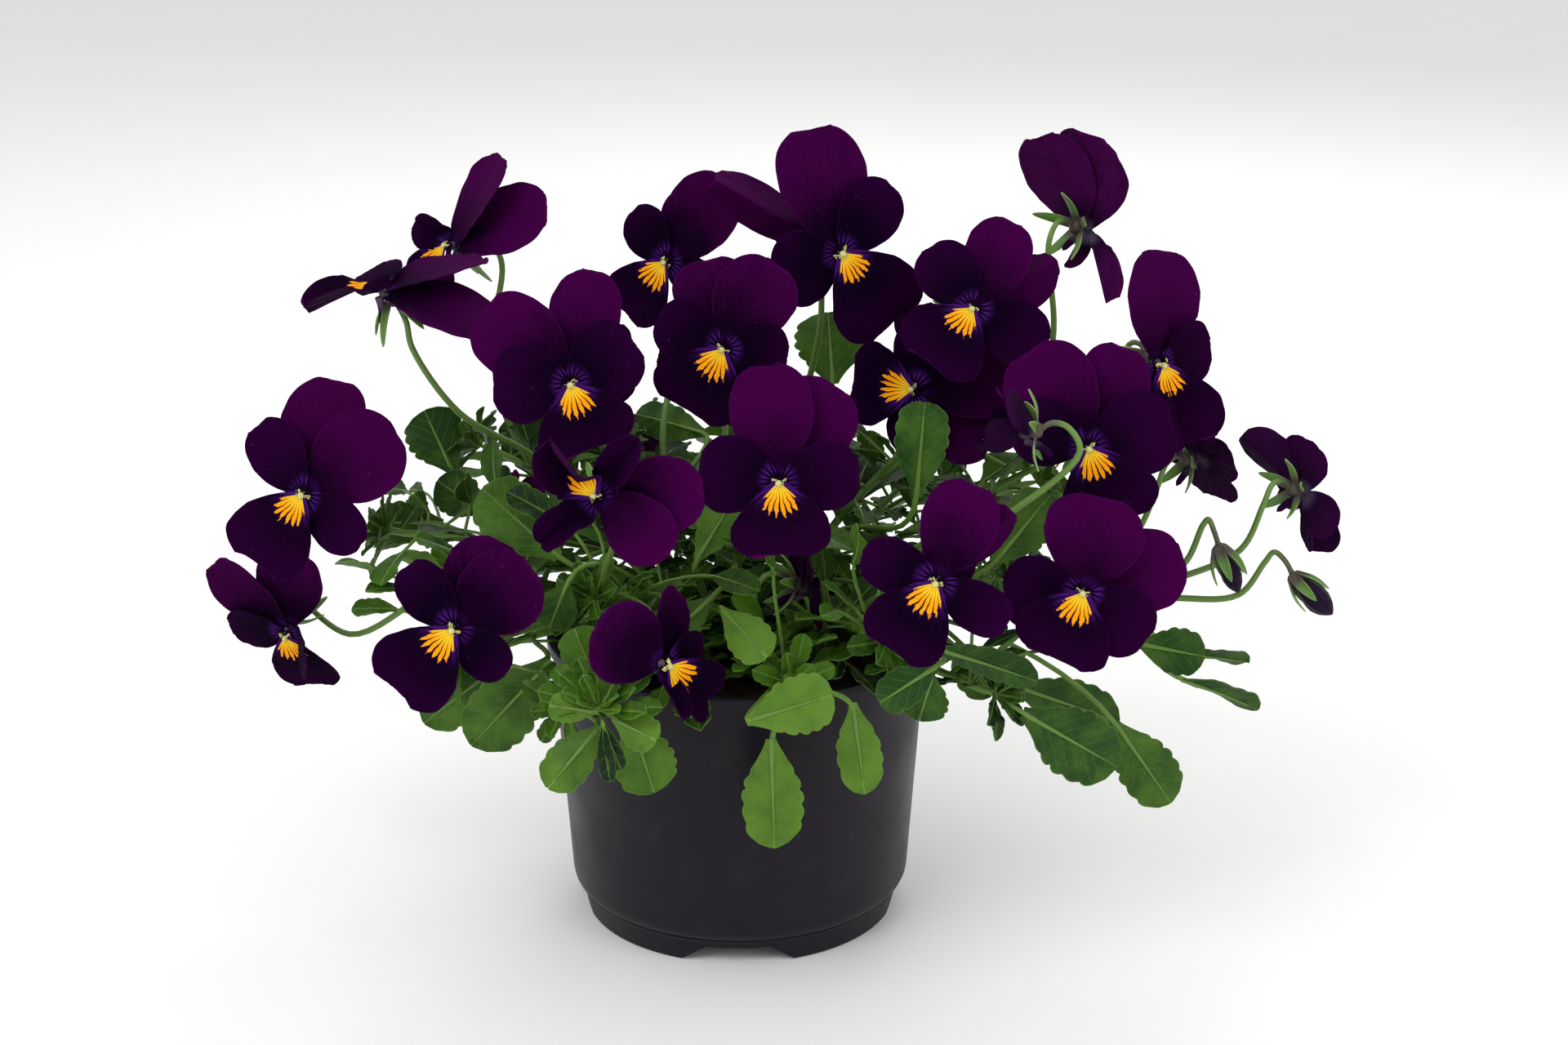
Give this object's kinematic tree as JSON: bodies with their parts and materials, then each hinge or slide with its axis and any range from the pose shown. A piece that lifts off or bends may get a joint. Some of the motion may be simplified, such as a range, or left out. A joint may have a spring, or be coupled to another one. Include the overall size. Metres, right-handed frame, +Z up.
{
  "type": "potted pansy planter",
  "caption": "Small-flowered violet pansy in bloom, spreading over the lip of a plain tapered plastic nursery pot filled with compost.",
  "frame": {"origin": "middle of the pot's base, on the ground", "axes": "+Z upwards out of the pot; -Y is the front, the side that most of the blooms face; X runs across the plant, which is its widest way"},
  "size_m": [0.3074, 0.1896, 0.2164],
  "materials": {
    "plastic": "satin",
    "compost": "rough, damp",
    "green": "matte leaf",
    "petal": "velvety"
  },
  "bodies": {
    "root": {"bloom_01": "petal", "bloom_02": "petal", "bloom_03": "petal", "bloom_04": "petal", "bloom_05": "petal", "bloom_06": "petal", "bloom_07": "petal", "bloom_08": "petal", "bloom_09": "petal", "bloom_10": "petal", "bloom_11": "petal", "bloom_12": "petal", "bloom_13": "petal", "bloom_14": "petal", "bloom_17": "petal", "bloom_18": "petal", "bloom_19": "petal", "bloom_20": "petal", "bloom_21": "petal", "bloom_22": "petal", "bloom_23": "petal", "bloom_24": "petal", "bloom_25": "petal", "bloom_26": "petal", "bloom_27": "petal", "bloom_28": "petal", "bloom_29": "petal", "bloom_30": "petal", "bloom_31": "petal", "bloom_32": "petal", "bud_15": "petal", "bud_16": "petal", "pot": "plastic", "shoot_01": "green", "shoot_02": "green", "shoot_03": "green", "shoot_04": "green", "shoot_05": "green", "shoot_06": "green", "shoot_07": "green", "shoot_08": "green", "shoot_09": "green", "shoot_10": "green", "shoot_11": "green", "shoot_12": "green", "shoot_13": "green", "shoot_14": "green", "shoot_15": "green", "shoot_16": "green", "shoot_17": "green", "shoot_18": "green", "shoot_19": "green", "soil": "compost"}
  },
  "joints": []
}
